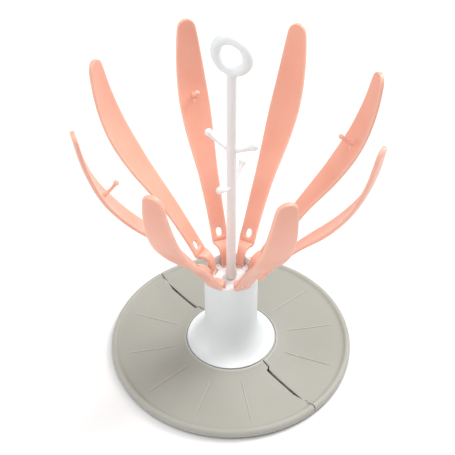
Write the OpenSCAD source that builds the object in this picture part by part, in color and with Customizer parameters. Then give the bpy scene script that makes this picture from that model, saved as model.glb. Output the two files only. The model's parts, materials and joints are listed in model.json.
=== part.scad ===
// Flower-shaped drying rack for baby bottles: eight petals swing on a crown at the top of a
// flared column, a carrying stem with small pegs stands in the middle, and the round base
// folds in half under the column along its seam.
// Frame: +Z up, origin on the floor at the centre of the base, +X along the seam of the base.

/* [Base] */
// Diameter of the round base
base_d = 230; // [200:5:260]
// Height of the tray surface above the floor
tray_z = 7.4; // [6.5:0.1:8]
// Height that the tray gains where it meets the column
collar_h = 5.1; // [4:0.1:6]
// Thickness of the base shell
base_wall = 2.4; // [2:0.1:3]
// Width of the open seam between the two halves
seam_gap = 1.8; // [1:0.1:3]
// Radius of the rolled rim
rim_r = 3.1; // [2.5:0.1:4]
// Number of places on the rib circle, two of which are the seam
rib_places = 12; // [8:4:16]

/* [Base hinge] */
// Height of the hinge line above the floor
hinge_z = 2.2; // [2:0.1:3]
// Outer radius of a hinge knuckle
knuckle_r = 1.9; // [1.6:0.1:2.2]
// Radius of a base hinge pin
base_pin_r = 0.9; // [0.7:0.05:1.1]

/* [Column] */
// Outer diameter of the column
column_d = 49.4; // [46:0.2:54]
// Height of the column rim above the floor
column_h = 99.5; // [96:0.5:100]
// Wall thickness of the column
column_wall = 2.3; // [2:0.1:3]
// Diameter of the flared foot of the column
flare_d = 84; // [76:1:84]
// Height over which the column flares
flare_h = 27; // [20:1:32]

/* [Petals] */
// Number of petals
petal_count = 8; // [8:8]
// Thickness of a petal
petal_t = 4; // [3:0.1:4.2]
// Largest width of a petal
petal_w = 28; // [24:0.5:30]
// Width of the neck below the blade
neck_w = 15.4; // [14:0.2:15.6]
// Width across the shoulders at the lower end of the blade
shoulder_w = 15.8; // [14:0.2:16]
// Width of the foot that enters the crown
foot_w = 7.6; // [6:0.1:7.8]
// Length of the hook on every second petal
hook_l = 18.2; // [16:0.2:20]

/* [Petal hinges] */
// Distance of each petal pin from the axis
pivot_r = 19; // [18.5:0.1:19.5]
// Height of the petal pins above the floor
pivot_z = 88.5; // [86:0.5:89]
// Radius of a petal pin
pin_r = 1.25; // [1:0.05:1.5]

/* [Stem] */
// Diameter of the stem
stem_d = 8.6; // [8:0.2:9]
// Total height of the rack
total_h = 352.6; // [340:0.2:360]
// Outer diameter of the carrying ring
ring_d = 37.2; // [34:0.2:40]
// Thickness of the carrying ring
ring_t = 9; // [8:0.2:10]
// Reach of the small pegs from the axis
peg_reach = 21.3; // [18:0.1:22]

/* [Hidden] */
$fn = 96;
slack = 0.3;          // free gap between pieces that move past each other
running = 0.05;       // radial clearance of a turning pin
snug = 0.02;          // radial clearance of a fixed pin or screw
eps = 0.01;

base_r = base_d / 2;
flare_r = flare_d / 2;
column_r = column_d / 2;
bore_r = column_r - column_wall;

// base
collar_r = 42;                              // where the collar reaches its full height
collar_fall = 9;                            // radial length over which the collar dies away
disc_r = 43.3;                              // central disc that belongs to the front half
back_in_r = disc_r + 0.4;
seat_z = 11.5;
seat_in_r = 38.6;
floor_z = 9;
floor_t = 2.6;
skirt_z = 2.4;
tab_y = 2.6;                                // how far the front half reaches past the seam
tab_gap = 0.35;
relief_rise = 0.15;
rim_zone = [base_r - 13.5, base_r + 1];
hub_zone = [disc_r, disc_r + 9.7];
rim_back = [rim_zone[0] + 0.3, rim_zone[0] + 5.4];
rim_front = [rim_zone[0] + 5.7, base_r - 2.8];
hub_front = [hub_zone[0] + 0.9, hub_zone[0] + 4.9];
hub_back = [hub_zone[0] + 5.2, hub_zone[1] - 0.3];
anchor_y = 6;
rib_w = 1.1;
rib_h = 0.6;
rib_from = 52;
rib_to = base_r - 14;
foot_pad_r = 6;
foot_pad_h = 1;
foot_boss_r = 7.5;
foot_ring_r = base_r - 15;
foot_angles = [40, 90, 140];

// column
flare_z = 13;
shelf_z = 75.4;
shelf_t = 2.6;
shelf_in_r = 15.6;
boss_ring_r = 28;
boss_r = 3.4;
boss_top = 17.5;
column_screw_r = 1.2;
column_screw_l = 9;
column_screw_head = [2.6, 1.8];             // radius and height
column_screw_angles = [30, 150, 270];

// crown
crown_r = bore_r - 0.2;
crown_floor_z = shelf_z + shelf_t;
crown_plate_t = 3;
crown_core_r = 15;                          // solid core that the slots leave standing
crown_core_wall = 2.2;
crown_core_top = 90.2;
petal_knuckle_r = 3;
crown_top = pivot_z + petal_knuckle_r + 0.2;
slot_w = foot_w + 0.8;
slot_z = pivot_z - petal_knuckle_r - 0.7;
petal_pin_l = 12.6;
crown_screw_r = 1;
crown_screw_ring = 18.8;
crown_screw_angles = [0, 135, 270];
crown_screw_l = 8;
crown_screw_head = [2, 1.4];

// stem
spigot_r = 2.8;
socket_r = 5.4;
socket_flange_r = 8;
socket_flange_t = 1.2;
socket_bottom = 60;
socket_floor = 2;
bulge_r = 5.3;
bulge_z = [92, 95.5, 103];
ring_major = (ring_d - ring_t) / 2;
ring_z = total_h - ring_d / 2;
peg_r = 1.8;
peg_ball_r = 3.1;
peg_rise = 12;
peg_heights = [239.5, 200.5];

// petals: the outer face in the plane through the axis, as distance and height
first_petal = 180 / petal_count;
petal_curve = [
    [31.4, 104.2], [46, 127.5], [66.5, 156.8], [97.5, 193.4], [115, 221.5], [127, 257.5], [132, 290]
];
// half the petal's width at a row of heights
blade_z = [108.5, 112, 120, 128, 146, 164, 186, 210, 236, 258, 273, 283];
blade_half = [
    shoulder_w / 2, shoulder_w / 2, neck_w / 2, neck_w / 2 + 0.2, 8.6, 9.6,
    12.4, petal_w / 2, 13.2, 11.4, 9.8, 8.4
];
shoulder_r = 4;
petal_top = 290;
neck_lean = 32;                             // angle of the neck from upright
// the foot that rises from the pin, bends over the column's rim and meets the blade
foot_inner = [
    [17.1, 90], [17.1, 96], [17.4, 100.4], [18.6, 104.6], [20.8, 108.2], [23.6, 110.6], [26.8, 111.5]
];
foot_crease = [[29.6, 111.5], [30.6, 110.9], [31.4, 112.2], [33, 109]];
foot_outer = [
    [28.4, 106.6], [26.4, 106.6], [24.4, 105.4], [22.8, 103.2], [22.05, 100.2], [22.05, 97], [21.2, 90]
];
// half the foot's width at a row of distances from the axis
foot_r = [14, 22.1, 23.2, 24.8, 27, 29.2, 34];
foot_half = [foot_w / 2, foot_w / 2, 4.5, 5.1, 6, 7, 7.2];
hole_z = 115.5;
hole_half = 4.2;
hole_w = 4.6;
hook_z = 219;
hook_r = 1.5;
hook_ball_r = 2.4;
hook_angle = 41;
hook_root_r = 3;
hook_inset = 1.4;                           // depth of the hook's root below the outer face

white = [0.93, 0.94, 0.94];
coral = [0.97, 0.7, 0.61];
taupe = [0.77, 0.76, 0.71];
steel = [0.7, 0.71, 0.73];
grey = [0.35, 0.35, 0.35];

// ---- curves ----

// point at t (0 to 1) between b and c, on a smooth curve that also passes through a and d
function smooth_point(a, b, c, d, t) =
    0.5 * ((2 * b) + (c - a) * t + (2 * a - 5 * b + 4 * c - d) * t * t
    + (3 * b - a - 3 * c + d) * t * t * t);

// smooth curve through a list of points, with n steps between neighbours
function smooth_path(p, n) = [
    for (i = [0 : len(p) - 2], k = [0 : n - 1])
        smooth_point(
            i == 0 ? 2 * p[0] - p[1] : p[i - 1], p[i], p[i + 1],
            i == len(p) - 2 ? 2 * p[i + 1] - p[i] : p[i + 2], k / n),
    p[len(p) - 1]
];

// the same path moved sideways, to its left, by a distance
function shifted_path(p, side) = [
    for (i = [0 : len(p) - 1])
        let (
            step = p[min(i + 1, len(p) - 1)] - p[max(i - 1, 0)],
            unit = step / norm(step)
        )
        p[i] + side * [-unit[1], unit[0]]
];

function reversed(p) = [for (i = [len(p) - 1 : -1 : 0]) p[i]];

// ---- base ----

function tray_top(r) = tray_z + collar_h * exp(-(r - collar_r) / collar_fall);

// everything below the top surface of the base, outside the given radius
module base_fill_profile(from_r, drop) {
    steps = 28;
    to_r = base_r - rim_r;
    polygon(concat(
        [[to_r, skirt_z], [from_r, skirt_z]],
        [for (i = [0 : steps])
            let (r = from_r + (to_r - from_r) * i / steps)
            [r, tray_top(r) - drop]]
    ));
}

module base_fill(from_r) {
    rotate_extrude() base_fill_profile(from_r, 0);
}

// the thin shell of the base with its rolled rim and skirt
module base_shell(from_r) {
    rotate_extrude() {
        difference() {
            base_fill_profile(from_r, 0);
            translate([-eps, -eps]) base_fill_profile(from_r, base_wall);
        }
        translate([base_r - rim_r, tray_z - 0.8]) circle(rim_r);
        translate([base_r - base_wall, skirt_z]) square([base_wall, tray_z - 0.8 - skirt_z]);
        translate([base_r - 2 * rim_r, tray_z - base_wall]) square([rim_r, base_wall]);
    }
}

// space under the base that lets one half fold beneath the other
module fold_relief() {
    reach = base_r + 5;
    low = hinge_z + relief_rise - reach * (hinge_z + relief_rise - skirt_z) / base_r;
    rotate([90, 0, 90])
        linear_extrude(height = 2 * reach, center = true)
            polygon([[-reach, -5], [reach, -5], [reach, low], [0, hinge_z + relief_rise], [-reach, low]]);
}

module ribs() {
    intersection() {
        rotate_extrude() difference() {
            translate([rib_from, 0]) square([rib_to - rib_from, 20]);
            translate([0, rib_h]) difference() {
                square([base_r, 30]);
                base_fill_profile(collar_r, 0);
                square([base_r, skirt_z + eps]);
            }
        }
        for (i = [0 : rib_places - 1])
            if (i % (rib_places / 2) != 0)
                rotate(i * 360 / rib_places)
                    translate([0, -rib_w / 2, tray_z - 1]) cube([base_r, rib_w, 20]);
    }
}

// a cylinder along X on the hinge line, over a range of distances, at both ends of the seam
module hinge_rods(zone, r) {
    for (side = [-1, 1])
        translate([side > 0 ? zone[0] : -zone[1], 0, hinge_z])
            rotate([0, 90, 0]) cylinder(r = r, h = zone[1] - zone[0]);
}

// a block over a range of distances along the seam, at both ends
module seam_blocks(zone, y0, y1, z0, z1) {
    for (side = [-1, 1])
        translate([side > 0 ? zone[0] : -zone[1], y0, z0])
            cube([zone[1] - zone[0], y1 - y0, z1 - z0]);
}

module foot_bosses(turn) {
    for (a = foot_angles)
        rotate(a + turn) translate([foot_ring_r, 0, foot_pad_h])
            cylinder(r = foot_boss_r, h = tray_z - base_wall - foot_pad_h + 0.5);
}

module feet(turn) {
    for (a = foot_angles)
        rotate(a + turn) translate([foot_ring_r, 0, 0])
            cylinder(r = foot_pad_r, h = foot_pad_h);
}

// central disc that carries the column, with the sleeve round it
module hub_disc() {
    sleeve_z = 1.2;
    sleeve_in_r = disc_r - base_wall;
    rotate_extrude() polygon([
        [0, floor_z - floor_t], [sleeve_in_r, floor_z - floor_t], [sleeve_in_r, sleeve_z],
        [disc_r, sleeve_z], [disc_r, seat_z], [seat_in_r, seat_z], [seat_in_r, floor_z], [0, floor_z]
    ]);
}

// everything on the front side of a plane along the seam
module front_side(y) {
    translate([-base_r - 5, -base_r - 5, -1]) cube([2 * base_r + 10, base_r + 5 + y, 40]);
}

// the places near the rim and the column where the front half reaches past the seam
module seam_tabs(grow) {
    for (zone = [rim_zone, hub_zone])
        seam_blocks([zone[0] - grow, zone[1] + grow], -seam_gap, tab_y + grow, -1, 39);
}

module base_front() {
    color(taupe) difference() {
        union() {
            difference() {
                intersection() {
                    union() {
                        base_shell(disc_r - 0.5);
                        ribs();
                        intersection() {
                            base_fill(disc_r - 0.5);
                            union() {
                                seam_blocks(rim_front, -anchor_y, tab_y, 0, 20);
                                seam_blocks(hub_front, -anchor_y, tab_y, 0, 20);
                            }
                        }
                    }
                    union() {
                        front_side(-seam_gap / 2);
                        seam_tabs(0);
                    }
                }
                fold_relief();
                for (zone = [rim_back, hub_back]) {
                    grown = [zone[0] - slack, zone[1] + slack];
                    hinge_rods(grown, knuckle_r + slack);
                    seam_blocks(grown, -0.5, tab_y + 1, 0, hinge_z + knuckle_r + slack);
                }
            }
            foot_bosses(180);
            hub_disc();
            hinge_rods(rim_front, knuckle_r);
            hinge_rods(hub_front, knuckle_r);
        }
        hinge_rods([disc_r - 1, base_r - 1.5], base_pin_r + snug);
        for (a = column_screw_angles)
            rotate(a) translate([boss_ring_r, 0, 0]) cylinder(r = column_screw_r + 0.2, h = 20);
    }
}

module base_back() {
    color(taupe) difference() {
        union() {
            difference() {
                union() {
                    base_shell(back_in_r);
                    ribs();
                    rotate_extrude() difference() {
                        base_fill_profile(back_in_r, 0);
                        translate([back_in_r + base_wall, 0]) square([base_r, 30]);
                    }
                    intersection() {
                        base_fill(back_in_r);
                        union() {
                            seam_blocks(rim_back, tab_y, anchor_y, 0, 20);
                            seam_blocks(hub_back, tab_y, anchor_y, 0, 20);
                        }
                    }
                }
                front_side(seam_gap / 2);
                seam_tabs(tab_gap);
                fold_relief();
                for (zone = [rim_front, hub_front])
                    hinge_rods([zone[0] - slack, zone[1] + slack], knuckle_r + slack);
            }
            foot_bosses(0);
            for (zone = [rim_back, hub_back]) {
                hinge_rods(zone, knuckle_r);
                seam_blocks(zone, 0, tab_y + 1, hinge_z + relief_rise, hinge_z + knuckle_r);
            }
        }
        hinge_rods([disc_r + 1, base_r - 1.5], base_pin_r + running);
    }
}

module feet_front() {
    color(grey) feet(180);
}

module feet_back() {
    color(grey) feet(0);
}

module base_hinge_pins() {
    color(steel) {
        hinge_rods([rim_back[0] + 0.1, rim_front[1] - 0.1], base_pin_r);
        hinge_rods([hub_front[0] + 0.1, hub_back[1] - 0.1], base_pin_r);
    }
}

// ---- column ----

// quarter ellipse from the straight column out to the edge of the flare
function flare_curve(r_top, r_edge, z_edge, rise) = [
    for (a = [0 : 6 : 90])
        [r_edge - (r_edge - r_top) * cos(a), z_edge + rise * (1 - sin(a))]
];

module column_profile() {
    inner_edge = flare_r - 2.4;
    rim = column_wall / 2;
    polygon(concat(
        [[bore_r, column_h - rim]],
        [for (a = [150 : -30 : 30])
            [column_r - rim + rim * cos(a), column_h - rim + rim * sin(a)]],
        [[column_r, column_h - rim]],
        flare_curve(column_r, flare_r - 0.5, flare_z, flare_h),
        [[flare_r, flare_z - 0.5], [flare_r, seat_z + 0.4], [flare_r - 0.4, seat_z]],
        [[inner_edge, seat_z]],
        reversed(flare_curve(bore_r, inner_edge, seat_z + 0.2, flare_h - 0.8)),
        [[bore_r, shelf_z], [shelf_in_r, shelf_z], [shelf_in_r, shelf_z + shelf_t],
            [bore_r, shelf_z + shelf_t]]
    ));
}

module column() {
    color(white) difference() {
        union() {
            rotate_extrude() column_profile();
            for (a = column_screw_angles)
                rotate(a) translate([boss_ring_r, 0, floor_z]) cylinder(r = boss_r, h = boss_top - floor_z);
        }
        for (a = column_screw_angles)
            rotate(a) translate([boss_ring_r, 0, 0])
                cylinder(r = column_screw_r + snug, h = boss_top - 1.5);
        for (a = crown_screw_angles)
            rotate(a) translate([crown_screw_ring, 0, shelf_z - 1])
                cylinder(r = crown_screw_r + 0.2, h = shelf_t + 2);
    }
}

// a screw that points up, with a crossed recess in the head below it
module screw(r, head, length) {
    recess = [head[0] * 1.1, 0.6, head[1]];
    cylinder(r = r, h = length);
    translate([0, 0, -head[1]]) difference() {
        cylinder(r = head[0], h = head[1]);
        for (a = [0, 90])
            rotate(a) cube(recess, center = true);
    }
}

module column_screws() {
    color(steel) for (a = column_screw_angles)
        rotate(a) translate([boss_ring_r, 0, floor_z - floor_t])
            screw(column_screw_r, column_screw_head, column_screw_l);
}

// ---- crown ----

module hub_crown() {
    socket_hole_r = socket_r + 0.1;
    core_in_r = crown_core_r - crown_core_wall;
    color(white) difference() {
        rotate_extrude() polygon([
            [core_in_r, crown_floor_z], [crown_r, crown_floor_z], [crown_r, crown_top - 0.6],
            [crown_r - 0.6, crown_top], [crown_core_r + 1.4, crown_top],
            [crown_core_r, crown_core_top], [socket_hole_r, crown_core_top],
            [socket_hole_r, crown_core_top - crown_plate_t], [core_in_r, crown_core_top - crown_plate_t]
        ]);
        for (i = [0 : petal_count - 1])
            rotate(first_petal + i * 360 / petal_count) {
                translate([crown_core_r, -slot_w / 2, slot_z]) cube([crown_r, slot_w, 20]);
                translate([pivot_r, 0, pivot_z]) rotate([90, 0, 0])
                    cylinder(r = pin_r + snug, h = petal_pin_l + 0.2, center = true);
            }
        for (a = crown_screw_angles)
            rotate(a) translate([crown_screw_ring, 0, crown_floor_z - 1])
                cylinder(r = crown_screw_r + snug, h = crown_screw_l - shelf_t + 1.2);
    }
}

module crown_screws() {
    color(steel) for (a = crown_screw_angles)
        rotate(a) translate([crown_screw_ring, 0, shelf_z])
            screw(crown_screw_r, crown_screw_head, crown_screw_l);
}

// blind socket that holds the foot of the stem
module stem_socket() {
    flange_z = crown_core_top;
    color(white) difference() {
        union() {
            translate([0, 0, socket_bottom]) cylinder(r = socket_r, h = flange_z - socket_bottom);
            translate([0, 0, flange_z])
                cylinder(r1 = socket_flange_r, r2 = socket_flange_r - 1, h = socket_flange_t);
        }
        translate([0, 0, socket_bottom + socket_floor])
            cylinder(r = spigot_r + running, h = flange_z);
    }
}

module petal_pins() {
    color(steel) for (i = [0 : petal_count - 1])
        rotate(first_petal + i * 360 / petal_count)
            translate([pivot_r, 0, pivot_z]) rotate([90, 0, 0])
                cylinder(r = pin_r, h = petal_pin_l, center = true);
}

// ---- petals ----

// the blade seen from the side, in the plane through the axis
module blade_side() {
    outer = smooth_path(petal_curve, 6);
    polygon(concat(outer, reversed(shifted_path(outer, petal_t))));
}

// outline of the blade seen along its radius: across the petal, and up
module blade_front() {
    last = len(blade_z) - 1;
    side = smooth_path([for (i = [0 : last]) [blade_half[i], blade_z[i]]], 5);
    tip = [for (a = [15 : 15 : 165])
        [blade_half[last] * cos(a), blade_z[last] + (petal_top - blade_z[last]) * sin(a)]];
    right = concat(
        [for (a = [-90 : 15 : -15])
            [blade_half[0] - shoulder_r + shoulder_r * cos(a), blade_z[0] + shoulder_r * sin(a)]],
        side
    );
    polygon(concat(right, tip, reversed([for (p = right) [-p[0], p[1]]])));
}

// the hooked foot: its side in the plane through the axis, cut to its plan
module petal_foot() {
    plan = [for (i = [0 : len(foot_r) - 1]) [foot_r[i], foot_half[i]]];
    intersection() {
        rotate([90, 0, 0]) linear_extrude(height = petal_w, center = true)
            polygon(concat(foot_inner, foot_crease, foot_outer));
        linear_extrude(height = 120)
            polygon(concat(plan, reversed([for (p = plan) [p[0], -p[1]]])));
    }
    translate([pivot_r, 0, pivot_z]) rotate([90, 0, 0])
        cylinder(r = petal_knuckle_r, h = foot_w, center = true);
}

// an oval slot through the neck, square to its face
module neck_hole() {
    straight = hole_half - hole_w / 2;
    translate([face_r(hole_z), 0, hole_z]) rotate([0, neck_lean, 0]) {
        for (up = [-1, 1])
            translate([0, 0, up * straight]) rotate([0, 90, 0])
                cylinder(r = hole_w / 2, h = 3 * petal_t, center = true);
        cube([3 * petal_t, hole_w, 2 * straight], center = true);
    }
}

// distance of the petal's outer face from the axis at a height
function face_r(z) = lookup(z, [for (p = petal_curve) [p[1], p[0]]]);

// a ball-ended peg with a flared root, on the inner face
module hook() {
    translate([face_r(hook_z) - hook_inset, 0, hook_z]) rotate([0, hook_angle - 90, 0]) {
        cylinder(r = hook_r, h = hook_l);
        cylinder(r1 = hook_root_r, r2 = hook_r, h = hook_l / 3);
        translate([0, 0, hook_l]) sphere(hook_ball_r);
    }
}

module petal(number) {
    turn = first_petal + (petal_count / 2 - number) * 360 / petal_count;
    hooked = number % 2 == 1;
    rotate(turn) color(coral) difference() {
        union() {
            intersection() {
                rotate([90, 0, 0])
                    linear_extrude(height = petal_w + 2, center = true) blade_side();
                rotate([90, 0, 90]) linear_extrude(height = base_r * 2) blade_front();
            }
            petal_foot();
            if (hooked) hook();
        }
        translate([pivot_r, 0, pivot_z]) rotate([90, 0, 0])
            cylinder(r = pin_r + running, h = foot_w + 2, center = true);
        neck_hole();
    }
}

// ---- stem ----

module peg(height, turn) {
    rotate(turn) translate([0, 0, height])
        rotate([0, atan2(peg_reach, peg_rise), 0]) {
            cylinder(r = peg_r, h = norm([peg_reach, peg_rise]));
            translate([0, 0, norm([peg_reach, peg_rise])]) sphere(peg_ball_r);
        }
}

module stem() {
    stem_r = stem_d / 2;
    foot = socket_bottom + socket_floor + running;
    color(white) {
        rotate_extrude() polygon([
            [0, foot], [spigot_r - 0.5, foot], [spigot_r, foot + 0.8], [spigot_r, bulge_z[0] - 0.4],
            [spigot_r + 0.7, bulge_z[0]], [bulge_r - 0.4, bulge_z[1] - 1.6], [bulge_r, bulge_z[1]],
            [bulge_r - 0.1, bulge_z[1] + 2.2], [stem_r + 0.3, bulge_z[2] - 1.6], [stem_r, bulge_z[2]],
            [stem_r, ring_z - ring_major], [0, ring_z - ring_major]
        ]);
        translate([0, 0, ring_z]) rotate([90, 0, first_petal])
            rotate_extrude() translate([ring_major, 0]) circle(ring_t / 2);
        for (i = [0, 1], side = [0, 180])
            peg(peg_heights[i], first_petal + 90 * i + side);
    }
}

base_front();
base_back();
feet_front();
feet_back();
base_hinge_pins();
column();
column_screws();
hub_crown();
crown_screws();
stem_socket();
petal_pins();
petal(1);  // petal_1
petal(2);  // petal_2
petal(3);  // petal_3
petal(4);  // petal_4
petal(5);  // petal_5
petal(6);  // petal_6
petal(7);  // petal_7
petal(8);  // petal_8
stem();
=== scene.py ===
"""Looks of the flower-shaped bottle drying rack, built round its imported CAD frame.

Sizes are in millimetres, turned into metres by MM where vertices are made.
Frame: +Z up, the base's seam along X. Lights are placed in metres.
"""

import json
import math

import bmesh
import bpy
from mathutils import Matrix, Vector


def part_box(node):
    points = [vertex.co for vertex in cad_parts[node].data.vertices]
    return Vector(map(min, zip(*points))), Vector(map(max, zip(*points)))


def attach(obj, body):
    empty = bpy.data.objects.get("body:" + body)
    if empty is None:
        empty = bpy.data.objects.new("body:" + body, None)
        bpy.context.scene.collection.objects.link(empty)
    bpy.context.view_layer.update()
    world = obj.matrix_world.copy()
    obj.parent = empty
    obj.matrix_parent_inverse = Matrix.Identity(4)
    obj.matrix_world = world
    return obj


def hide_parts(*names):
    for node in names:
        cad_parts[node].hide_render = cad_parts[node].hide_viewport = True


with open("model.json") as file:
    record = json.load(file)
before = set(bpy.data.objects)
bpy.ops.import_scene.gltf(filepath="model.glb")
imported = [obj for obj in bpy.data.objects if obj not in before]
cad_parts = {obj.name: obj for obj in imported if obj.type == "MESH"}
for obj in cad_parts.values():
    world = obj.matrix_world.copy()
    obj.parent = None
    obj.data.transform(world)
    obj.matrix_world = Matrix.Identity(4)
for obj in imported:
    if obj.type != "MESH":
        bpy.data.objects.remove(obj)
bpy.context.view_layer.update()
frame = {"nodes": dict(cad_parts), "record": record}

MM = 0.001

# ---- sizes that the pieces share with the CAD frame ----

BASE_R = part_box("base_front")[1].x / MM
FLARE_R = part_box("column")[1].x / MM
COLUMN_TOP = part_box("column")[1].z / MM
COLUMN_R = 24.7
COLUMN_BORE_R = 22.4
RACK_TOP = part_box("stem")[1].z / MM
PETAL_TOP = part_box("petal_1")[1].z / MM

PETALS = 8
PETAL_STEP = 360 / PETALS
PETAL_PIVOT = (19.0, 88.5)
HINGE_Z = 2.2


# ---- curves ----


def chord_lengths(points):
    """Distance along a chain of points, at each point."""
    total = [0.0]
    for a, b in zip(points, points[1:]):
        total.append(total[-1] + (Vector(b) - Vector(a)).length)
    return total


class Curve:
    """A smooth curve through points, asked for by its distance along the chain."""

    def __init__(self, points, places=None):
        self.points = [Vector(p) for p in points]
        self.places = places or chord_lengths(points)
        self.length = self.places[-1]
        self.slopes = [self._slope(i) for i in range(len(points))]

    def _slope(self, i):
        p, t = self.points, self.places
        last = len(p) - 1
        if i == 0:
            return (p[1] - p[0]) / (t[1] - t[0])
        if i == last:
            return (p[last] - p[last - 1]) / (t[last] - t[last - 1])
        before, after = t[i] - t[i - 1], t[i + 1] - t[i]
        slope_before = (p[i] - p[i - 1]) / before
        slope_after = (p[i + 1] - p[i]) / after
        return (slope_before * after + slope_after * before) / (before + after)

    def at(self, s):
        t = self.places
        i = 0
        while i < len(t) - 2 and s > t[i + 1]:
            i += 1
        h = t[i + 1] - t[i]
        u = (s - t[i]) / h
        h00 = 2 * u**3 - 3 * u**2 + 1
        h10 = u**3 - 2 * u**2 + u
        h01 = -2 * u**3 + 3 * u**2
        h11 = u**3 - u**2
        return (
            self.points[i] * h00
            + self.slopes[i] * (h10 * h)
            + self.points[i + 1] * h01
            + self.slopes[i + 1] * (h11 * h)
        )


def value_curve(pairs):
    """A smooth function through (place, value) pairs."""
    curve = Curve([(v, 0.0) for _, v in pairs], [p for p, _ in pairs])
    low, high = pairs[0][0], pairs[-1][0]
    return lambda x: curve.at(min(max(x, low), high)).x


def smooth_step(x, low, high):
    t = min(max((x - low) / (high - low), 0), 1)
    return t * t * (3 - 2 * t)


def arc(centre, radius, start, end, steps):
    """Points of an arc, angles in degrees."""
    return [
        (
            centre[0] + radius * math.cos(math.radians(start + (end - start) * k / steps)),
            centre[1] + radius * math.sin(math.radians(start + (end - start) * k / steps)),
        )
        for k in range(steps + 1)
    ]


# ---- mesh helpers ----


def make_object(name, bm, material=None):
    """A smooth-shaded object from a bmesh whose vertices are in millimetres."""
    bmesh.ops.scale(bm, vec=(MM, MM, MM), verts=bm.verts)
    bmesh.ops.recalc_face_normals(bm, faces=bm.faces)
    mesh = bpy.data.meshes.new(name)
    bm.to_mesh(mesh)
    bm.free()
    for polygon in mesh.polygons:
        polygon.use_smooth = True
    piece = bpy.data.objects.new(name, mesh)
    bpy.context.scene.collection.objects.link(piece)
    if material:
        mesh.materials.append(material)
    return piece


def apply_modifiers(piece):
    """Turns a piece's modifiers into its real mesh."""
    graph = bpy.context.evaluated_depsgraph_get()
    mesh = bpy.data.meshes.new_from_object(piece.evaluated_get(graph))
    piece.modifiers.clear()
    piece.data = mesh
    return piece


def subdivide(piece, levels):
    modifier = piece.modifiers.new("subdivide", "SUBSURF")
    modifier.levels = levels
    modifier.render_levels = levels
    return apply_modifiers(piece)


def join_solid(piece, other):
    """Fuses another closed piece into this one."""
    modifier = piece.modifiers.new("join", "BOOLEAN")
    modifier.operation = "UNION"
    modifier.solver = "EXACT"
    modifier.object = other
    apply_modifiers(piece)
    bpy.data.objects.remove(other)
    return piece


def sharp_by_angle(piece, degrees):
    """Keeps edges steeper than an angle crisp in the shading."""
    bm = bmesh.new()
    bm.from_mesh(piece.data)
    limit = math.radians(degrees)
    for edge in bm.edges:
        edge.smooth = len(edge.link_faces) != 2 or edge.calc_face_angle() < limit
    bm.to_mesh(piece.data)
    bm.free()


def lathe(profile, segments, closed=True):
    """A bmesh of a profile of (distance, height) points turned round Z."""
    bm = bmesh.new()
    rings = []
    for k in range(segments):
        a = 2 * math.pi * k / segments
        rings.append([bm.verts.new((r * math.cos(a), r * math.sin(a), z)) for r, z in profile])
    pairs = len(profile) if closed else len(profile) - 1
    for k in range(segments):
        here, after = rings[k], rings[(k + 1) % segments]
        for i in range(pairs):
            j = (i + 1) % len(profile)
            bm.faces.new((here[i], after[i], after[j], here[j]))
    bmesh.ops.remove_doubles(bm, verts=bm.verts, dist=1e-4)
    return bm


def tube(path, radii, sides):
    """A closed tube along points, with a radius at each."""
    bm = bmesh.new()
    rings = []
    side = Vector((0, 1, 0))
    for i, p in enumerate(path):
        ahead = (path[min(i + 1, len(path) - 1)] - path[max(i - 1, 0)]).normalized()
        across = ahead.cross(side).normalized()
        up = across.cross(ahead)
        rings.append([
            bm.verts.new(
                p + radii[i] * (math.cos(2 * math.pi * k / sides) * across
                                + math.sin(2 * math.pi * k / sides) * up))
            for k in range(sides)
        ])
    for here, after in zip(rings, rings[1:]):
        for k in range(sides):
            j = (k + 1) % sides
            bm.faces.new((here[k], here[j], after[j], after[k]))
    bm.faces.new(rings[0])
    bm.faces.new(rings[-1])
    return bm


def turned(piece, degrees, name):
    """A copy of a piece's mesh, turned round Z."""
    mesh = piece.data.copy()
    mesh.name = name
    mesh.transform(Matrix.Rotation(math.radians(degrees), 4, "Z"))
    copy = bpy.data.objects.new(name, mesh)
    bpy.context.scene.collection.objects.link(copy)
    return copy


# ---- materials ----


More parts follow.
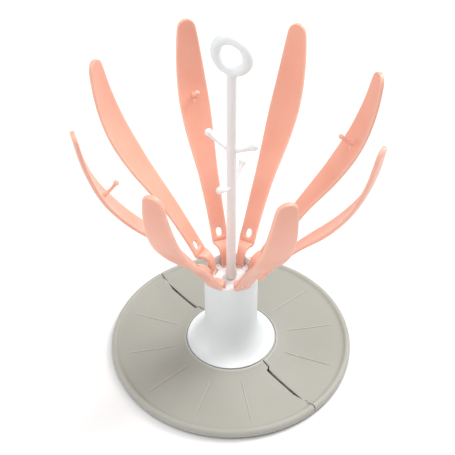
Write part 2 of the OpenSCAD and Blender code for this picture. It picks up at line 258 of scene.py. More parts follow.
class Nodes:
    """Short names for building one material's nodes."""

    def __init__(self, name):
        self.material = bpy.data.materials.new(name)
        self.material.use_nodes = True
        self.tree = self.material.node_tree
        self.shader = self.tree.nodes["Principled BSDF"]
        self.place = self.add("ShaderNodeTexCoord").outputs["Object"]

    def add(self, kind, **settings):
        made = self.tree.nodes.new(kind)
        for key, value in settings.items():
            setattr(made, key, value)
        return made

    def link(self, a, b):
        self.tree.links.new(a, b)

    def noise(self, scale, detail=4, rough=0.55):
        made = self.add("ShaderNodeTexNoise")
        made.inputs["Scale"].default_value = scale
        made.inputs["Detail"].default_value = detail
        made.inputs["Roughness"].default_value = rough
        self.link(self.place, made.inputs["Vector"])
        return made.outputs["Fac"]

    def ramp(self, source, stops):
        made = self.add("ShaderNodeValToRGB")
        elements = made.color_ramp.elements
        while len(elements) < len(stops):
            elements.new(0.5)
        for element, (position, colour) in zip(elements, stops):
            element.position = position
            element.color = (*colour, 1)
        self.link(source, made.inputs["Fac"])
        return made.outputs["Color"]

    def value_range(self, source, low, high, to_low, to_high):
        made = self.add("ShaderNodeMapRange")
        for key, value in (("From Min", low), ("From Max", high), ("To Min", to_low), ("To Max", to_high)):
            made.inputs[key].default_value = value
        self.link(source, made.inputs["Value"])
        return made.outputs["Result"]

    def mix(self, kind, amount, a, b):
        made = self.add("ShaderNodeMix", data_type="RGBA", blend_type=kind)
        if isinstance(amount, float):
            made.inputs[0].default_value = amount
        else:
            self.link(amount, made.inputs[0])
        self.link(a, made.inputs[6])
        if isinstance(b, tuple):
            made.inputs[7].default_value = (*b, 1)
        else:
            self.link(b, made.inputs[7])
        return made.outputs[2]

    def bump(self, height, strength, distance, below=None):
        made = self.add("ShaderNodeBump")
        made.inputs["Strength"].default_value = strength
        made.inputs["Distance"].default_value = distance
        self.link(height, made.inputs["Height"])
        if below is not None:
            self.link(below, made.inputs["Normal"])
        return made.outputs["Normal"]

    def nearness(self, distance):
        """One on open surfaces, falling to zero in narrow gaps."""
        made = self.add("ShaderNodeAmbientOcclusion", samples=8)
        made.inputs["Distance"].default_value = distance
        return made.outputs["AO"]

    def pointiness_light_mask(self):
        """Bright on convex edges, dark in creases: the mask for painted edge highlights and painted crease
        shade.
        """
        return self.add("ShaderNodeNewGeometry").outputs["Pointiness"]


def petal_plastic():
    """Satin coral polypropylene that light passes into, with painted shade (slightly deeper colour) in
    creases and a painted highlight (paler colour) along edges.
    """
    n = Nodes("petal_plastic")
    mottled = n.ramp(n.noise(38, 3), [(0.3, (0.83, 0.4, 0.293)), (0.7, (0.86, 0.44, 0.333))])
    # painted highlight: paler colour on convex edges, where the light catches the petal's thickness
    edges = n.value_range(n.pointiness_light_mask(), 0.5, 0.55, 0.0, 0.8)
    colour = n.mix("MIX", edges, mottled, (0.95, 0.66, 0.55))
    # painted shade: a deeper, darker orange in creases and hollows
    creases = n.value_range(n.pointiness_light_mask(), 0.42, 0.5, 0.75, 0.0)
    colour = n.mix("MIX", creases, colour, (0.8, 0.23, 0.12))
    n.link(colour, n.shader.inputs["Base Color"])
    n.link(n.value_range(n.noise(160, 3), 0.3, 0.7, 0.34, 0.42), n.shader.inputs["Roughness"])
    grain = n.bump(n.noise(2600, 2), 0.06, 0.0002)
    n.link(n.bump(n.noise(70, 2), 0.12, 0.0006, grain), n.shader.inputs["Normal"])
    n.shader.inputs["Subsurface Weight"].default_value = 0.22
    n.shader.inputs["Subsurface Radius"].default_value = (1.0, 0.42, 0.28)
    n.shader.inputs["Subsurface Scale"].default_value = 0.004
    n.shader.inputs["Specular IOR Level"].default_value = 0.42
    return n.material


def base_plastic():
    """Matte warm grey plastic with a fine spark-eroded grain, painted highlights on rib crests and edges, and
    painted shade in the seam and narrow gaps.
    """
    n = Nodes("base_plastic")
    colour = n.ramp(n.noise(22, 4), [(0.3, (0.376, 0.372, 0.327)), (0.7, (0.396, 0.392, 0.349))])
    speck = n.value_range(n.noise(1900, 2), 0.35, 0.65, 0.0, 0.35)
    colour = n.mix("MULTIPLY", speck, colour, (0.93, 0.93, 0.92))
    # painted highlight: lighter colour on rib crests, seam edges and the rim
    edges = n.value_range(n.pointiness_light_mask(), 0.505, 0.56, 0.0, 0.65)
    colour = n.mix("MIX", edges, colour, (0.62, 0.61, 0.56))
    # painted shade: near-black in the seam and other narrow gaps, where ambient occlusion is low
    gaps = n.value_range(n.nearness(0.006), 0.35, 0.72, 1.0, 0.0)
    colour = n.mix("MIX", gaps, colour, (0.02, 0.02, 0.018))
    n.link(colour, n.shader.inputs["Base Color"])
    n.link(n.value_range(n.noise(300, 3), 0.3, 0.7, 0.5, 0.6), n.shader.inputs["Roughness"])
    grain = n.bump(n.noise(2400, 3), 0.16, 0.0002)
    n.link(n.bump(n.noise(45, 2), 0.06, 0.0006, grain), n.shader.inputs["Normal"])
    n.shader.inputs["Specular IOR Level"].default_value = 0.38
    return n.material


def white_plastic(name, tint, scatter):
    """Smooth satin white plastic, with faint flow marks and a moulded waviness."""
    n = Nodes(name)
    low = tuple(c * 0.975 for c in tint)
    colour = n.ramp(n.noise(30, 3), [(0.3, low), (0.7, tint)])
    n.link(colour, n.shader.inputs["Base Color"])
    n.link(n.value_range(n.noise(70, 2), 0.3, 0.7, 0.32, 0.38), n.shader.inputs["Roughness"])
    n.link(n.bump(n.noise(30, 0), 0.02, 0.0004), n.shader.inputs["Normal"])
    n.shader.inputs["Subsurface Weight"].default_value = scatter
    n.shader.inputs["Subsurface Radius"].default_value = (1.0, 0.95, 0.9)
    n.shader.inputs["Subsurface Scale"].default_value = 0.003
    return n.material


def foot_rubber():
    n = Nodes("foot_rubber")
    colour = n.ramp(n.noise(90, 4), [(0.3, (0.15, 0.145, 0.135)), (0.7, (0.19, 0.185, 0.175))])
    n.link(colour, n.shader.inputs["Base Color"])
    n.link(n.value_range(n.noise(400, 3), 0.3, 0.7, 0.72, 0.85), n.shader.inputs["Roughness"])
    n.link(n.bump(n.noise(1300, 3), 0.3, 0.0002), n.shader.inputs["Normal"])
    return n.material


def steel():
    """Drawn stainless steel with fine lengthwise scratches."""
    n = Nodes("steel")
    colour = n.ramp(n.noise(60, 3), [(0.3, (0.56, 0.57, 0.59)), (0.7, (0.66, 0.67, 0.69))])
    n.link(colour, n.shader.inputs["Base Color"])
    n.link(n.value_range(n.noise(700, 4), 0.3, 0.7, 0.2, 0.38), n.shader.inputs["Roughness"])
    n.link(n.bump(n.noise(3000, 2), 0.1, 0.0001), n.shader.inputs["Normal"])
    n.shader.inputs["Metallic"].default_value = 1.0
    return n.material


MATERIALS = {
    "petal_plastic": petal_plastic(),
    "base_plastic": base_plastic(),
    "white_plastic": white_plastic("white_plastic", (0.81, 0.84, 0.85), 0.12),
    "stem_plastic": white_plastic("stem_plastic", (0.80, 0.835, 0.84), 0.2),
    "foot_rubber": foot_rubber(),
    "steel": steel(),
}


def paint_cad_nodes():
    """Every CAD node that stays takes the material of its slot in the record."""
    slots = {part["node"]: part["material_slot"] for part in frame["record"]["subparts"]}
    for name, node in frame["nodes"].items():
        node.data.materials.clear()
        node.data.materials.append(MATERIALS[slots[name]])


def place(piece, body, slot, *nodes):
    """Rides a piece on its body, in its finish, in the place of CAD nodes."""
    piece.data.materials.clear()
    piece.data.materials.append(MATERIALS[slot])
    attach(piece, body)
    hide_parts(*nodes)


# ---- petals ----

# middle of the blade's thickness, in the plane through the axis: (distance, height)
BLADE_LINE = [
    (29.7, 105.3), (44.3, 128.6), (64.9, 158.0), (95.9, 194.6), (113.2, 222.3), (125.1, 258.0),
    (129.9, PETAL_TOP - 0.7)]
# half the blade's width against the height of its middle
BLADE_HALF = value_curve([
    (106, 7.7), (113, 7.9), (121, 7.7), (128, 7.9), (135, 8.0), (149, 8.7), (163, 9.4), (177, 11.2),
    (190, 12.7), (205, 13.9), (215, 14.2), (229, 13.7), (246, 12.6), (258, 11.5), (273, 9.9), (282, 8.6)])
# the foot as sections from the pin up to the blade: inner face, outer face, half-widths of both
FOOT_SECTIONS = [
    ((17.4, 89.0), (20.8, 89.0), 3.8, 3.8),
    ((17.1, 93.0), (21.5, 93.0), 3.8, 3.8),
    ((17.1, 97.0), (22.0, 97.0), 3.8, 3.8),
    ((17.4, 100.6), (22.0, 100.4), 3.8, 3.8),
    ((18.5, 104.4), (22.7, 103.0), 4.0, 3.9),
    ((20.6, 107.9), (24.0, 105.2), 4.4, 4.3),
    ((23.4, 110.4), (25.4, 106.2), 5.0, 4.9),
    ((26.4, 111.4), (26.9, 106.7), 5.9, 5.7),
    ((28.6, 111.7), (28.2, 106.3), 6.8, 5.2),
    ((29.9, 111.6), (29.9, 104.9), 7.3, 5.0),
    ((30.3, 109.9), (30.9, 104.5), 7.4, 5.3),
    ((30.7, 109.9), (31.6, 104.7), 7.5, 5.9),
    ((31.2, 112.0), (32.5, 106.1), 7.7, 7.3),
    ((32.2, 113.6), (33.7, 107.9), 7.8, 7.8)]
THICK_HALF = 2.0
EDGE_ROUND = 0.75          # how near its corners the section's flats end
TIP_FROM_Z = 281.0
HOLE_FROM_FOOT = 13.3      # distance of the hole's middle along the blade
HOLE_HALF = (2.3, 4.2)
HOLE_BLOCK = (3.8, 5.6)
BLADE_CUP = 1.3            # how far the petal's edges curl inward at its widest


def blade_rows(line):
    """Distances along the blade's line where its cross-sections lie, above the foot."""
    samples = 600
    tip = next(
        line.length * k / samples for k in range(samples)
        if line.at(line.length * k / samples).y >= TIP_FROM_Z)
    rows = [HOLE_FROM_FOOT + k * HOLE_BLOCK[1] / 2 for k in (-2, -1, 0, 1, 2)]
    plain_from = rows[-1] + 3
    plain = 20
    rows += [plain_from + (tip - plain_from) * k / plain for k in range(plain + 1)]
    rest = line.length - tip
    rows += [tip + rest * math.sin(math.radians(a)) for a in (22, 42, 59, 72, 82)]
    return rows, tip


def section_places(half, near_hole):
    """Places across a section: edge, shoulder of the edge, and the flats between."""
    edge = min(EDGE_ROUND, 0.3 * half)
    shoulder = half - edge
    outer, inner = HOLE_BLOCK[0] if near_hole else 0.6 * shoulder, 1.3 if near_hole else 0.22 * shoulder
    return [-half, -shoulder, -outer, -inner, inner, outer, shoulder, half]


def foot_section(inner, outer, inner_half, outer_half):
    """The points of a foot section, on its inner and its outer face."""
    inner, outer = Vector(inner), Vector(outer)
    through = (inner - outer).normalized()
    faces = []
    for face, half, toward in ((inner, inner_half, -through), (outer, outer_half, through)):
        points = []
        for x in section_places(half, False):
            p = face + toward * EDGE_ROUND if abs(x) == half else face
            points.append((p.x, x, p.y))
        faces.append(points)
    return faces


def blade_section(line, s, tip):
    """The points of a blade section, on its inner and its outer face; None where the hole is."""
    rest = line.length - tip
    half = BLADE_HALF(line.at(min(s, tip)).y)
    if s > tip:
        half *= math.sqrt(max(1 - ((s - tip) / rest) ** 2, 0.02))
    near_hole = abs(s - HOLE_FROM_FOOT) <= HOLE_BLOCK[1] + 0.01
    block_end = abs(abs(s - HOLE_FROM_FOOT) - HOLE_BLOCK[1]) < 0.01
    cup = BLADE_CUP * (half / 14) ** 2
    faces = []
    for side in (1, -1):
        points = []
        for k, x in enumerate(section_places(half, near_hole)):
            along = s
            if near_hole and 2 <= k <= 5:
                if not block_end and k in (3, 4):
                    points.append(None)
                    continue
                turn = math.atan2((s - HOLE_FROM_FOOT) / HOLE_BLOCK[1], x / HOLE_BLOCK[0])
                x, along = HOLE_HALF[0] * math.cos(turn), HOLE_FROM_FOOT + HOLE_HALF[1] * math.sin(turn)
            here = line.at(along)
            ahead = (line.at(min(along + 0.2, line.length)) - line.at(max(along - 0.2, 0))).normalized()
            lift = side * (THICK_HALF - (EDGE_ROUND if k in (0, 7) else 0)) + cup * (x / half) ** 2
            p = here + Vector((-ahead.y, ahead.x)) * lift
            points.append((p.x, x, p.y))
        faces.append(points)
    return faces


def petal_mesh(hooked):
    """One petal in the plane of +X: sections of foot and blade joined into a cage, then subdivided."""
    line = Curve(BLADE_LINE)
    rows, tip = blade_rows(line)
    sections = [foot_section(*section) for section in FOOT_SECTIONS]
    first = len(sections)
    last = first + 4
    sections += [blade_section(line, s, tip) for s in rows]
    bm = bmesh.new()
    grids = [[[p and bm.verts.new(p) for p in section[face]] for section in sections] for face in (0, 1)]
    for grid in grids:
        for i in range(len(grid) - 1):
            for k in range(len(grid[i]) - 1):
                if not (first <= i < last and 2 <= k < 5):
                    bm.faces.new((grid[i][k], grid[i][k + 1], grid[i + 1][k + 1], grid[i + 1][k]))
    inner, outer = grids
    for i in range(len(inner) - 1):
        for k in (0, -1):
            bm.faces.new((inner[i][k], inner[i + 1][k], outer[i + 1][k], outer[i][k]))
    for i in (0, -1):
        for k in range(len(inner[i]) - 1):
            bm.faces.new((inner[i][k], inner[i][k + 1], outer[i][k + 1], outer[i][k]))
    ring = [(first, k) for k in range(2, 6)] + [(i, 5) for i in range(first + 1, last + 1)]
    ring += [(last, k) for k in (4, 3, 2)] + [(i, 2) for i in range(last - 1, first, -1)]
    for (i, k), (j, m) in zip(ring, ring[1:] + ring[:1]):
        bm.faces.new((inner[i][k], inner[j][m], outer[j][m], outer[i][k]))
    petal = subdivide(make_object("petal_master", bm), 2)
    join_solid(petal, petal_barrel())
    if hooked:
        join_solid(petal, petal_hook())
    return petal


def petal_barrel():
    """The eye at the petal's foot that turns on its pin, lying along Y."""
    half_l, outer, bore, chamfer = 3.8, 3.0, 1.3, 0.4
    profile = [
        (bore, -half_l + 0.2), (bore + 0.2, -half_l),
        (outer - chamfer, -half_l), (outer - 0.1, -half_l + 0.12),
        (outer, -half_l + chamfer), (outer, half_l - chamfer), (outer - 0.1, half_l - 0.12),
        (outer - chamfer, half_l), (bore + 0.2, half_l), (bore, half_l - 0.2)]
    bm = lathe(profile, 40)
    bmesh.ops.rotate(bm, cent=(0, 0, 0), matrix=Matrix.Rotation(math.pi / 2, 3, "X"), verts=bm.verts)
    bmesh.ops.translate(bm, vec=(PETAL_PIVOT[0], 0, PETAL_PIVOT[1]), verts=bm.verts)
    return make_object("barrel", bm)


HOOK_ROOT = (112.5, 219.0)
HOOK_TIP = (98.8, 230.8)
HOOK_BALL_R = 2.4


def petal_hook():
    """A bent peg with a flared root and a ball end, on the petal's inner face."""
    root = Vector((HOOK_ROOT[0], 0, HOOK_ROOT[1]))
    tip = Vector((HOOK_TIP[0], 0, HOOK_TIP[1]))
    sag = Vector((-0.7, 0, -0.7)) * 1.1
    steps = 16
    path, radii = [], []
    for k in range(steps + 1):
        t = k / steps
        path.append(root.lerp(tip, t) + sag * math.sin(math.pi * t))
        flare = 2.4 * math.exp(-t * 6)
        swell = 0.35 * smooth_step(t, 0.6, 1)
        radii.append(1.4 + flare + swell)
    stalk = subdivide(make_object("stalk", tube(path, radii, 12)), 1)
    ball = bmesh.new()
    bmesh.ops.create_uvsphere(ball, u_segments=28, v_segments=18, radius=HOOK_BALL_R)
    bmesh.ops.translate(ball, vec=tip, verts=ball.verts)
    return join_solid(stalk, make_object("ball", ball))


def make_petals():
    masters = {True: petal_mesh(True), False: petal_mesh(False)}
    for number in range(1, PETALS + 1):
        turn = PETAL_STEP / 2 + (PETALS / 2 - number) * PETAL_STEP
        petal = turned(masters[number % 2 == 1], turn, f"petal_{number}_blade")
        place(petal, f"swing_petal_{number}", "petal_plastic", f"petal_{number}")
    for master in masters.values():
        bpy.data.objects.remove(master)


# ---- base ----

TRAY_Z = 7.4
COLLAR_H = 5.1
COLLAR_R = 42.0
COLLAR_FALL = 9.0
WALL = 2.4
RIM_R = 3.1
SKIRT_Z = 2.4
GAP_HALF = 1.25
TAB_Y = 2.3
TAB_GAP = 0.9
DISC_R = 43.3
HUB_TAB_TO = DISC_R + 9.7
RIM_TAB_FROM = BASE_R - 13.5
JOG = 1.6                  # length over which the seam steps sideways
RIB_FROM, RIB_TO = 53.0, BASE_R - 15
RIB_H = 0.7
RIB_HALF = 0.56            # from the middle of a rib to its lower edge
RIB_FLAT_HALF = 0.2        # half the width of its top
SECTORS = 6                # ribs divide each half into this many sectors


def tray_top(r):
    return TRAY_Z + COLLAR_H * math.exp(-(r - COLLAR_R) / COLLAR_FALL)


def base_chains(r_in):
    """The top and the bottom of the base's section, as chains of the same length."""
    flat_to = BASE_R - 2 * RIM_R - 1.6
    steps = 26
    places = [r_in + (flat_to - r_in) * (k / steps) ** 1.25 for k in range(steps + 1)]
    jogs = [start + JOG * share for start in (HUB_TAB_TO - JOG, RIM_TAB_FROM) for share in (0, 0.3, 0.7, 1)]
    places = [r for r in places if min(abs(r - jog) for jog in jogs) > 0.5] + jogs
    top = [(r, tray_top(r)) for r in sorted(places)]
    centre = (BASE_R - RIM_R, TRAY_Z - 0.8)
    top += [(flat_to + 0.9, TRAY_Z + 0.25), (flat_to + 1.7, TRAY_Z + 0.85)]
    top += arc(centre, RIM_R, 145, -20, 14)
    top += [(BASE_R, TRAY_Z - 2.6), (BASE_R - 0.2, SKIRT_Z + 0.35), (BASE_R - 0.7, SKIRT_Z)]
    under_from = BASE_R - WALL
    count = len(top)
    bottom = []
    lower = [
        (under_from - 1.6, TRAY_Z - WALL + 0.1), (under_from - 0.4, TRAY_Z - WALL - 0.3),
        (under_from, TRAY_Z - WALL - 1.0), (under_from, SKIRT_Z + 0.4), (under_from + 0.4, SKIRT_Z)]
    flat = count - len(lower)
    for k in range(flat):
        r = r_in + (under_from - 3 - r_in) * k / (flat - 1)
        bottom.append((r, tray_top(r) - WALL))
    return top, bottom + lower


def seam_y(r, side):
    """How far the edge of a half lies from the X axis; under the tabs the front half reaches past it."""
    tab = 1 - smooth_step(r, HUB_TAB_TO - JOG, HUB_TAB_TO) + smooth_step(r, RIM_TAB_FROM, RIM_TAB_FROM + JOG)
    if side > 0:
        return GAP_HALF + (TAB_Y + TAB_GAP - GAP_HALF) * tab
    return GAP_HALF - (GAP_HALF + TAB_Y) * tab


def half_columns(side):
    """Columns of the grid round a half.

    Each says what it keeps its distance from, that distance, and its share between two ribs.
    """
    seam_steps = (0.0, 0.12, 0.3, 0.55, 0.9, 1.5, 2.4)
    rib_steps = (-1.3, -0.76, -RIB_HALF, -RIB_FLAT_HALF, RIB_FLAT_HALF, RIB_HALF, 0.76, 1.3)
    between = 9
    columns = [("seam_a", d, 0, 0) for d in seam_steps]
    for rib in range(1, SECTORS):
        columns += [("between", 0, (rib - 1, rib), k / between) for k in range(1, between)]
        columns += [("rib", d, rib, 0) for d in rib_steps]
    columns += [("between", 0, (SECTORS - 1, SECTORS), k / between) for k in range(1, between)]
    columns += [("seam_b", d, 0, 0) for d in reversed(seam_steps)]
    return columns, seam_steps[-1], rib_steps[-1]


def column_angle(column, r, side, seam_last, rib_last):
    """Angle of a grid column at a distance from the centre, from the seam's +X end towards the half."""
    kind, d, which, share = column
    start = math.asin(max(min(seam_y(r, side) / r, 1), -1))
    end = math.pi - start

    def rib_angle(rib, offset):
        if rib == 0:
            return start + seam_last / r
        if rib == SECTORS:
            return end - seam_last / r
        return math.pi * rib / SECTORS + offset / r

    if kind == "seam_a":
        return start + d / r
    if kind == "seam_b":
        return end - d / r
    if kind == "rib":
        return rib_angle(which, d)
    a, b = rib_angle(which[0], rib_last), rib_angle(which[1], -rib_last)
    return a + (b - a) * share


def rib_height(column, r):
    if column[0] != "rib" or abs(column[1]) > RIB_HALF:
        return 0.0
    ends = smooth_step(r, RIB_FROM, RIB_FROM + 2) * (1 - smooth_step(r, RIB_TO - 2, RIB_TO))
    crown = 1.0 if abs(column[1]) <= RIB_FLAT_HALF else 0.72
    return RIB_H * crown * ends


def base_half(side, r_in, round_top, round_bottom):
    """Half of the base: its section carried round from one end of the seam to the other, edges rounded."""
    top, bottom = base_chains(r_in)
    columns, seam_last, rib_last = half_columns(side)
    bm = bmesh.new()
    grids = {}
    for chain_name, chain, radius in (("top", top, round_top), ("bottom", bottom, round_bottom)):
        grid = []
        for column in columns:
            row = []
            near = column[1] if column[0] in ("seam_a", "seam_b") else radius
            inset = 0.0
            if near < radius:
                inset = radius - math.sqrt(radius**2 - (radius - near) ** 2)
            for i, (r, z) in enumerate(chain):
                mate = (bottom if chain_name == "top" else top)[i]
                toward = Vector((mate[0] - r, mate[1] - z))
                if toward.length > 0:
                    toward.normalize()
                r_now, z_now = r + toward.x * inset, z + toward.y * inset
                angle = column_angle(column, r, side, seam_last, rib_last)
                if chain_name == "top":
                    z_now += rib_height(column, r)
                x, y = r_now * math.cos(angle), r_now * math.sin(angle)
                lowest = HINGE_Z + 0.15 - abs(y) * (HINGE_Z + 0.15 - SKIRT_Z) / BASE_R
                row.append(bm.verts.new((x, side * y, max(z_now, lowest))))
            grid.append(row)
        grids[chain_name] = grid
        for a, b in zip(grid, grid[1:]):
            for i in range(len(chain) - 1):
                bm.faces.new((a[i], a[i + 1], b[i + 1], b[i]))
    upper, under = grids["top"], grids["bottom"]
    for c in range(len(columns) - 1):
        for i in (0, -1):
            bm.faces.new((upper[c][i], upper[c + 1][i], under[c + 1][i], under[c][i]))
    for c in (0, -1):
        for i in range(len(top) - 1):
            bm.faces.new((upper[c][i], upper[c][i + 1], under[c][i + 1], under[c][i]))
    return bm


def add_lathe(bm, profile, segments, matrix=None):
    """Adds a turned solid to a bmesh."""
    part = lathe(profile, segments)
    if matrix:
        bmesh.ops.transform(part, matrix=matrix, verts=part.verts)
    mesh = bpy.data.meshes.new("part")
    part.to_mesh(mesh)
    part.free()
    bm.from_mesh(mesh)
    bpy.data.meshes.remove(mesh)


def hub_disc_profile():
    """Disc that carries the column, with its sleeve; its edge is eased."""
    sleeve_in = DISC_R - WALL
    seat_z, floor_z = 11.5, 9.0
    return [
        (0.0, floor_z - 2.6), (sleeve_in, floor_z - 2.6), (sleeve_in, 1.4), (sleeve_in + 0.2, 1.2),
        (DISC_R - 0.2, 1.2), (DISC_R, 1.4), (DISC_R, seat_z - 0.35), (DISC_R - 0.1, seat_z - 0.1),
        (DISC_R - 0.35, seat_z), (38.6, seat_z), (38.6, floor_z), (0.0, floor_z)]


def hinge_eye(bm, x_from, x_to):
    """A hinge knuckle on the line of the seam, at both ends."""
    length = x_to - x_from
    outer, bore, ease = 1.9, 0.95, 0.25
    profile = [
        (bore, 0), (outer - ease, 0), (outer, ease),
        (outer, length - ease), (outer - ease, length), (bore, length)]
    for side in (1, -1):
        matrix = Matrix.Translation((side * x_from, 0, HINGE_Z)) @ Matrix.Rotation(side * math.pi / 2, 4, "Y")
        add_lathe(bm, profile, 28, matrix)


def add_block(bm, low, high):
    """Adds a box between two corners."""
    part = bmesh.ops.create_cube(bm, size=1)["verts"]
    size = Vector(high) - Vector(low)
    bmesh.ops.scale(bm, vec=size, verts=part)
    bmesh.ops.translate(bm, vec=(Vector(high) + Vector(low)) / 2, verts=part)


def hinge_lug(bm, x_from, x_to, front):
    """What joins a knuckle to its half: straight up under the front half's tab, or back past the seam."""
    under = tray_top(x_from) - WALL + 0.2
    low_z, lug_top = HINGE_Z + 0.4, HINGE_Z + 1.85
    for side in (1, -1):
        near, far = sorted((side * x_from, side * x_to))
        if front:
            add_block(bm, (near, -1.4, low_z), (far, 1.2, under))
        else:
            add_block(bm, (near, 0.2, low_z), (far, TAB_Y + TAB_GAP + 1.5, lug_top))
            add_block(bm, (near, TAB_Y + TAB_GAP + 0.3, low_z), (far, TAB_Y + TAB_GAP + 2.2, under))


FOOT_ANGLES = (40, 90, 140)
FOOT_RING_R = BASE_R - 15


def foot_places(side):
    for angle in FOOT_ANGLES:
        a = math.radians(angle)
        yield FOOT_RING_R * math.cos(a), side * FOOT_RING_R * math.sin(a)


def make_base():
    rim_eyes = (RIM_TAB_FROM + 0.3, RIM_TAB_FROM + 5.4, RIM_TAB_FROM + 5.7, BASE_R - 2.8)
    hub_eyes = (DISC_R + 0.9, DISC_R + 4.9, DISC_R + 5.2, HUB_TAB_TO - 0.3)
    for side, body, node in ((-1, "stand", "base_front"), (1, "folding_half", "base_back")):
        front = side < 0
        bm = base_half(side, DISC_R - 0.2 if front else DISC_R + 0.4, 0.4 if front else 1.5, 0.4)
        boss = [(0, 0.98), (7.1, 0.98), (7.5, 1.4), (7.5, TRAY_Z - WALL + 0.4), (0, TRAY_Z - WALL + 0.4)]
        for x, y in foot_places(side):
            add_lathe(bm, boss, 40, Matrix.Translation((x, y, 0)))
        if front:
            add_lathe(bm, hub_disc_profile(), 160)
            eyes = (rim_eyes[2:], hub_eyes[:2])
        else:
            eyes = (rim_eyes[:2], hub_eyes[2:])
        for x_from, x_to in eyes:
            hinge_eye(bm, x_from, x_to)
            hinge_lug(bm, x_from, x_to, front)
        half = make_object(f"{node}_shell", bm)
        sharp_by_angle(half, 50)
        place(half, body, "base_plastic", node)


def make_feet():
    """Round pads with two grooves in the face that they stand on."""
    profile = [
        (0, 1.0), (0, 0.35), (1.6, 0.35), (1.75, 0.0), (3.2, 0.0), (3.35, 0.35), (4.0, 0.35), (4.15, 0.0),
        (5.6, 0.0), (5.9, 0.15), (6.0, 0.4), (6.0, 1.0)]
    for side, body, node in ((-1, "stand", "feet_front"), (1, "folding_half", "feet_back")):
        bm = bmesh.new()
        for x, y in foot_places(side):
            add_lathe(bm, profile, 48, Matrix.Translation((x, y, 0)))
        pads = make_object(f"{node}_pads", bm)
        sharp_by_angle(pads, 40)
        place(pads, body, "foot_rubber", node)


# ---- column, crown, socket ----

SEAT_Z = 11.5
FLARE_Z = 13.0
FLARE_H = 27.0


def flare(r_top, r_edge, z_edge, rise, steps):
    """Quarter ellipse from the straight column out to the edge of its foot."""
    points = []
    for k in range(steps + 1):
        a = math.radians(90 * k / steps)
        points.append((r_edge - (r_edge - r_top) * math.cos(a), z_edge + rise * (1 - math.sin(a))))
    return points


def make_column():
    rim = (COLUMN_R - COLUMN_BORE_R) / 2
    shelf_z, shelf_t, shelf_in = 75.4, 2.6, 15.6
    inner_edge = FLARE_R - 2.4
    profile = [(COLUMN_BORE_R, shelf_z + shelf_t + 0.3), (COLUMN_BORE_R, COLUMN_TOP - rim - 4)]
    profile += arc((COLUMN_R - rim, COLUMN_TOP - rim), rim, 180, 0, 10)
    profile += [(COLUMN_R, z) for z in (COLUMN_TOP - 6, COLUMN_TOP - 20, 60, 48)]
    profile += flare(COLUMN_R, FLARE_R - 0.45, FLARE_Z, FLARE_H, 30)
    profile += [(FLARE_R - 0.12, FLARE_Z - 0.1), (FLARE_R, FLARE_Z - 0.45), (FLARE_R, SEAT_Z + 0.4)]
    profile += [(FLARE_R - 0.35, SEAT_Z + 0.02), (inner_edge, SEAT_Z + 0.02)]
    profile += list(reversed(flare(COLUMN_BORE_R, inner_edge, SEAT_Z + 0.2, FLARE_H - 0.8, 20)))
    profile += [(COLUMN_BORE_R, shelf_z), (shelf_in, shelf_z), (shelf_in, shelf_z + shelf_t)]
    profile += [(COLUMN_BORE_R - 0.3, shelf_z + shelf_t)]
    column = make_object("column_shell", lathe(profile, 160))
    sharp_by_angle(column, 50)
    place(column, "stand", "white_plastic", "column")


def eased_copy(node, name, width, segments):
    """A copy of a CAD node whose sharp edges are rounded over."""
    source = frame["nodes"][node]
    mesh = source.data.copy()
    piece = bpy.data.objects.new(name, mesh)
    bpy.context.scene.collection.objects.link(piece)
    bm = bmesh.new()
    bm.from_mesh(mesh)
    bmesh.ops.remove_doubles(bm, verts=bm.verts, dist=1e-6)
    bmesh.ops.dissolve_limit(bm, angle_limit=math.radians(1), verts=bm.verts, edges=bm.edges)
    bm.to_mesh(mesh)
    bm.free()
    bevel = piece.modifiers.new("ease", "BEVEL")
    bevel.width = width * MM
    bevel.segments = segments
    bevel.limit_method = "ANGLE"
    bevel.angle_limit = math.radians(40)
    apply_modifiers(piece)
    for polygon in piece.data.polygons:
        polygon.use_smooth = True
    sharp_by_angle(piece, 45)
    return piece


def make_crown():
    crown = eased_copy("hub_crown", "hub_crown_eased", 0.4, 2)
    place(crown, "stand", "white_plastic", "hub_crown")
    flange_z, flange_r, socket_r, bore = 90.2, 8.0, 5.4, 2.86
    bottom, inside = 60.0, 62.0
    profile = [
        (bore, inside), (bore, flange_z + 0.95), (bore + 0.25, flange_z + 1.2),
        (flange_r - 1.2, flange_z + 1.2), (flange_r - 0.9, flange_z + 1.05), (flange_r, flange_z + 0.15),
        (flange_r, flange_z), (socket_r, flange_z), (socket_r, bottom + 0.2), (socket_r - 0.2, bottom),
        (0.0, bottom), (0.0, inside)]
    socket = make_object("stem_socket_cup", lathe(profile, 64))
    sharp_by_angle(socket, 40)
    place(socket, "stand", "white_plastic", "stem_socket")


# ---- stem ----

STEM_R = 4.3
RING_T = 9.0
RING_D = 37.2
RING_MAJOR = (RING_D - RING_T) / 2
RING_Z = RACK_TOP - RING_D / 2
PEG_HEIGHTS = (239.5, 200.5)
PEG_REACH = 21.3
PEG_RISE = 12.0
PEG_BALL_R = 3.4
STEM_GRAIN = 0.45          # size of the cells that fuse the stem's pieces into one moulding


def stem_core():
    """The stem's own outline: foot, bulge and rod."""
    foot, spigot_r = 62.06, 2.8
    rod_top = RING_Z - RING_MAJOR
    bulge = [
        (3.5, 91.9), (4.5, 92.8), (5.1, 94.2), (5.3, 95.9), (5.2, 98.0), (4.85, 100.6), (4.5, 103.2)]
    profile = [(0.0, foot), (spigot_r - 0.5, foot), (spigot_r, foot + 0.8), (spigot_r, 91.5)]
    profile += bulge
    profile += [(STEM_R, 106), (STEM_R, rod_top - 2), (STEM_R, rod_top), (0.0, rod_top)]
    return lathe(profile, 48)


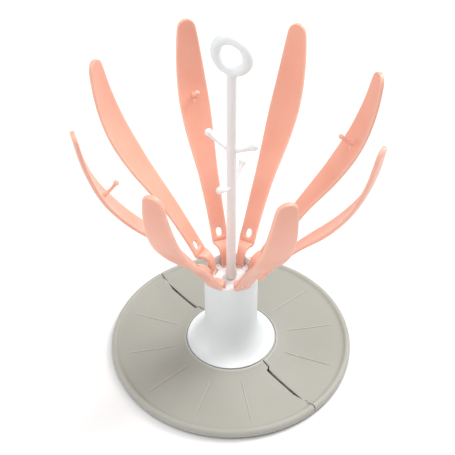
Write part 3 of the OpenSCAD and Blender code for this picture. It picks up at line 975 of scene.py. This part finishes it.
def ring_mesh():
    """The carrying ring, round in section."""
    sides = 32
    profile = []
    for k in range(sides):
        a = 2 * math.pi * k / sides
        profile.append((RING_MAJOR + RING_T / 2 * math.cos(a), RING_T / 2 * math.sin(a)))
    bm = lathe(profile, 96)
    bmesh.ops.rotate(bm, cent=(0, 0, 0), matrix=Matrix.Rotation(math.pi / 2, 3, "X"), verts=bm.verts)
    bmesh.ops.translate(bm, vec=(0, 0, RING_Z), verts=bm.verts)
    return bm


def peg_mesh():
    """A peg that rises as it leaves the stem and swells into its ball."""
    steps = 18
    path, radii = [], []
    for k in range(steps + 1):
        t = k / steps
        rise = PEG_RISE * (0.62 * t + 0.38 * t * t)
        path.append(Vector((PEG_REACH * t, 0, rise)))
        radii.append(1.9 + 1.3 * math.exp(-t * 12) + 0.9 * smooth_step(t, 0.55, 1))
    return tube(path, radii, 20), path[-1]


def make_stem():
    """Core, ring and pegs fused into one moulding."""
    whole = make_object("stem_moulding", stem_core())
    parts = [make_object("ring", ring_mesh())]
    for height, turn in ((PEG_HEIGHTS[0], 0), (PEG_HEIGHTS[1], 90)):
        for side in (0, 180):
            bm, tip = peg_mesh()
            bmesh.ops.translate(bm, vec=(0, 0, height), verts=bm.verts)
            part = make_object("peg", bm)
            ball = bmesh.new()
            bmesh.ops.create_uvsphere(ball, u_segments=28, v_segments=18, radius=PEG_BALL_R)
            bmesh.ops.translate(ball, vec=tip + Vector((0, 0, height)), verts=ball.verts)
            knob = make_object("knob", ball)
            for piece in (part, knob):
                piece.data.transform(Matrix.Rotation(math.radians(turn + side), 4, "Z"))
                parts.append(piece)
    bm = bmesh.new()
    for piece in [whole] + parts:
        bm.from_mesh(piece.data)
    for piece in parts:
        bpy.data.objects.remove(piece)
    bm.to_mesh(whole.data)
    bm.free()
    remesh = whole.modifiers.new("fuse", "REMESH")
    remesh.mode = "VOXEL"
    remesh.voxel_size = STEM_GRAIN * MM
    smooth = whole.modifiers.new("ease", "SMOOTH")
    smooth.factor = 0.5
    smooth.iterations = 4
    apply_modifiers(whole)
    for polygon in whole.data.polygons:
        polygon.use_smooth = True
    whole.data.transform(Matrix.Rotation(math.radians(PETAL_STEP / 2), 4, "Z"))
    place(whole, "lift_out_stem", "stem_plastic", "stem")


# ---- stage, light, camera ----

VIEW_TURN = 49.43          # degrees; 0 looks along +Y
VIEW_RISE = 42.47
VIEW_DISTANCE = 996.8
VIEW_TARGET_Z = 153.3
VIEW_TARGET_SIDE = -3.3
LENS = 89.46


def view_axes():
    a = math.radians(VIEW_TURN)
    return Vector((math.cos(a), math.sin(a), 0)), Vector((-math.sin(a), math.cos(a), 0))


def make_camera():
    right, ahead = view_axes()
    rise = math.radians(VIEW_RISE)
    target = right * VIEW_TARGET_SIDE + Vector((0, 0, VIEW_TARGET_Z))
    spot = target + VIEW_DISTANCE * (Vector((0, 0, math.sin(rise))) - ahead * math.cos(rise))
    camera = bpy.data.objects.new("camera", bpy.data.cameras.new("camera"))
    camera.data.lens = LENS
    camera.data.sensor_width = 36
    camera.data.clip_start = 0.01
    camera.location = spot * MM
    camera.rotation_euler = (target - spot).to_track_quat("-Z", "Y").to_euler()
    bpy.context.scene.collection.objects.link(camera)
    bpy.context.scene.camera = camera


def soft_light(name, across, along, height, size, power):
    """A square light at a place measured along the view's right and ahead, aimed at the rack's middle."""
    right, ahead = view_axes()
    spot = right * across + ahead * along + Vector((0, 0, height))
    lamp = bpy.data.objects.new(name, bpy.data.lights.new(name, "AREA"))
    lamp.data.shape = "SQUARE"
    lamp.data.size = size
    lamp.data.energy = power
    lamp.location = spot
    lamp.rotation_euler = (Vector((0, 0, 0.12)) - spot).to_track_quat("-Z", "Y").to_euler()
    bpy.context.scene.collection.objects.link(lamp)


def floor_material():
    n = Nodes("floor_paper")
    colour = n.ramp(n.noise(3, 3), [(0.3, (0.925, 0.925, 0.925)), (0.7, (0.94, 0.94, 0.94))])
    n.link(colour, n.shader.inputs["Base Color"])
    n.link(n.bump(n.noise(900, 2), 0.02, 0.0001), n.shader.inputs["Normal"])
    n.shader.inputs["Roughness"].default_value = 0.9
    n.shader.inputs["Specular IOR Level"].default_value = 0.1
    return n.material


def make_stage():
    half_size = 6000
    bm = bmesh.new()
    bmesh.ops.create_grid(bm, x_segments=4, y_segments=4, size=half_size)
    floor = make_object("floor", bm, floor_material())
    floor.location.z = -0.0002
    world = bpy.data.worlds.new("studio")
    bpy.context.scene.world = world
    world.use_nodes = True
    background = world.node_tree.nodes["Background"]
    background.inputs["Color"].default_value = (1, 1, 1, 1)
    background.inputs["Strength"].default_value = 0.3
    soft_light("key", 1.0, 0.7, 1.5, 0.9, 29)
    soft_light("left", -1.5, 0.0, 0.8, 1.2, 9)
    soft_light("overhead", 0.0, 0.0, 2.0, 1.2, 10.5)
    soft_light("front", 0.0, -1.1, 1.6, 1.2, 9)
    soft_light("low_front", 0.0, -1.6, 0.5, 1.0, 1.5)
    bpy.context.scene.view_settings.view_transform = "Standard"


# ---- build ----

make_camera()
paint_cad_nodes()
make_base()
make_feet()
make_column()
make_crown()
make_stem()
make_petals()
make_stage()
